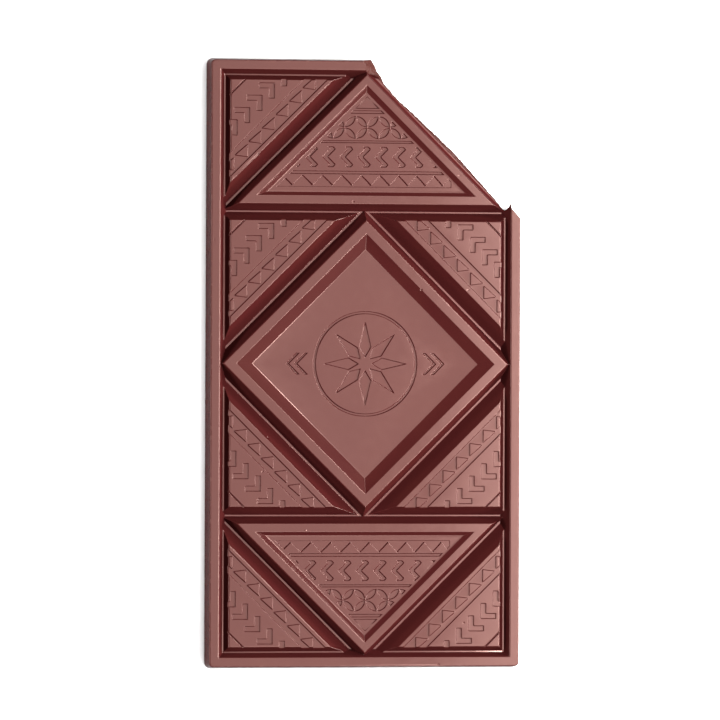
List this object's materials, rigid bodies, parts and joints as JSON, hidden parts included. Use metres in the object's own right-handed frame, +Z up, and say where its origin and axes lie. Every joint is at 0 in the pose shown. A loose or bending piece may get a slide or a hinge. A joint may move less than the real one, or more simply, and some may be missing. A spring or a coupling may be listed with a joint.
{
  "type": "chocolate bar",
  "caption": "Flat moulded milk chocolate bar with a rim, triangular break-off pieces round a centre diamond, pressed patterns, and a corner snapped off.",
  "frame": {"origin": "centre of the bar's flat back, at the middle of its full length and width as if no corner were missing", "axes": "+Z up, out of the patterned face; +Y along the bar towards the end with the missing corner; +X across the bar towards the side with the missing corner"},
  "size_m": [0.076, 0.146, 0.0056],
  "materials": {
    "milk_chocolate": "smooth moulded milk chocolate with a soft sheen, dull and grainy where it is broken"
  },
  "bodies": {
    "root": {"chocolate_bar": "milk_chocolate"}
  },
  "joints": []
}
